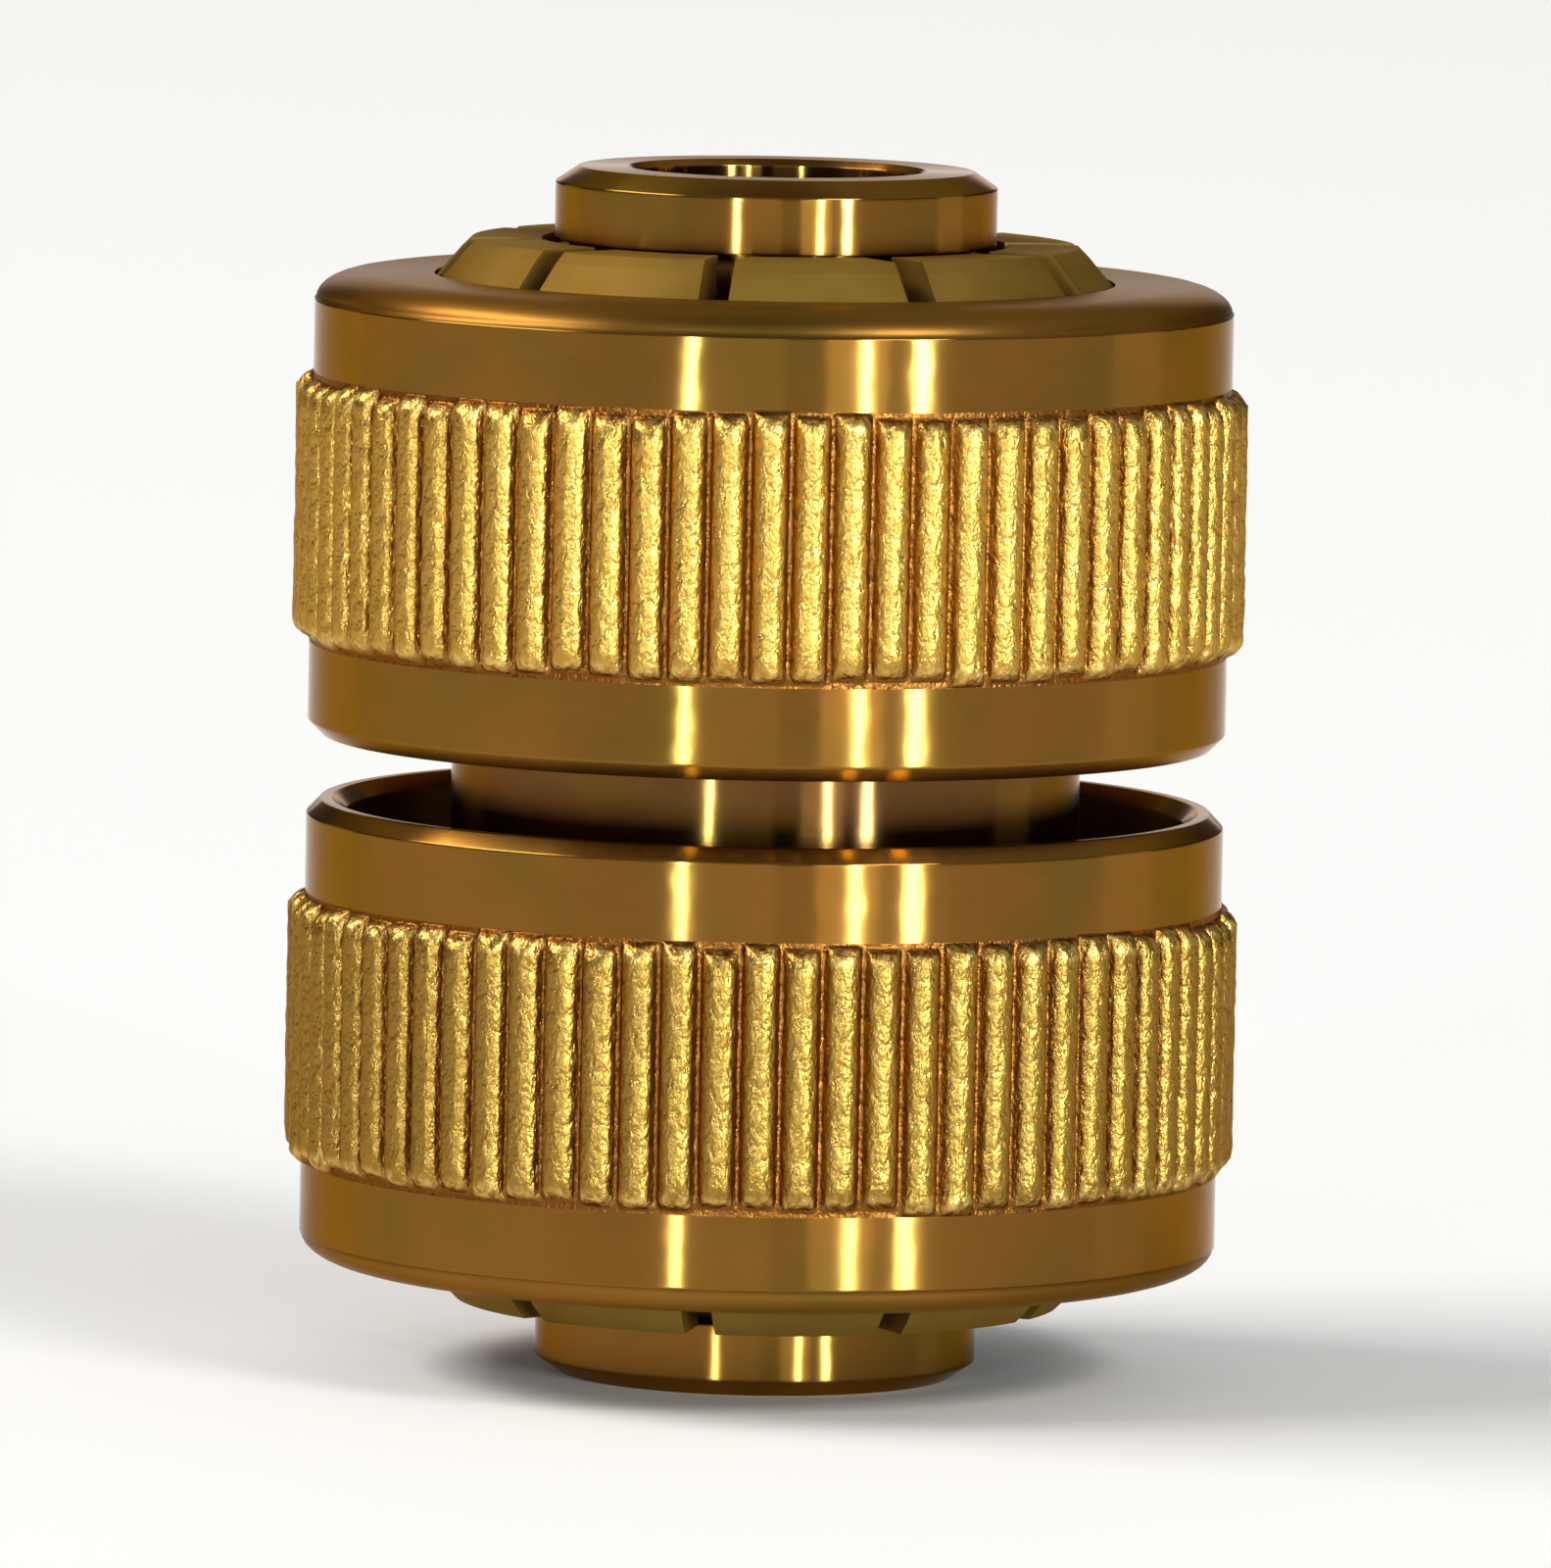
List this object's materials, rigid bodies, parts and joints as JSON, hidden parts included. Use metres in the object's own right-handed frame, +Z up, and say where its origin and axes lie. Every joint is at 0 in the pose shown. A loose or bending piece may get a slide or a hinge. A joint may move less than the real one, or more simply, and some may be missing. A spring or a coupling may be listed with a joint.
{
  "type": "hose mender",
  "caption": "Brass hose mender: a barbed tail at each end of a turned body, with knurled nuts that shut slotted claws on the hose.",
  "frame": {"origin": "on the axis, in the plane of the lower tail's end face, which the fitting stands on", "axes": "+Z up along the waterway; the two ends mirror each other about the middle of the length"},
  "size_m": [0.03, 0.03, 0.0381],
  "materials": {
    "body_brass": "bright turned brass, fine lathe lines round the axis",
    "claw_brass": "plain turned brass, slightly duller than the nuts",
    "nut_brass": "bright turned bands, rough sparkling straight knurl"
  },
  "bodies": {
    "fitting_body": {"body": "body_brass"},
    "upper_claws": {"upper_claw_ring": "claw_brass"},
    "upper_clamp_nut": {"upper_nut": "nut_brass"},
    "lower_claws": {"lower_claw_ring": "claw_brass"},
    "lower_clamp_nut": {"lower_nut": "nut_brass"}
  },
  "joints": [
    {"name": "upper_nut_travel", "type": "slide", "parent": "fitting_body", "child": "upper_claws", "axis": [0, 0, 1], "range_m": [0, 0.00375]},
    {"name": "upper_nut_turn", "type": "hinge", "parent": "upper_claws", "child": "upper_clamp_nut", "pos_m": [0, 0, 0.01903], "axis": [0, 0, 1], "range_deg": [0, 900]},
    {"name": "lower_nut_travel", "type": "slide", "parent": "fitting_body", "child": "lower_claws", "axis": [0, 0, -1], "range_m": [0, 0.0015]},
    {"name": "lower_nut_turn", "type": "hinge", "parent": "lower_claws", "child": "lower_clamp_nut", "pos_m": [0, 0, 0.01903], "axis": [0, 0, -1], "range_deg": [0, 360]}
  ],
  "couplings": [
    {"joint": "upper_nut_travel", "follows": "upper_nut_turn", "m_per_rad": 0.00023873},
    {"joint": "lower_nut_travel", "follows": "lower_nut_turn", "m_per_rad": 0.00023873}
  ]
}
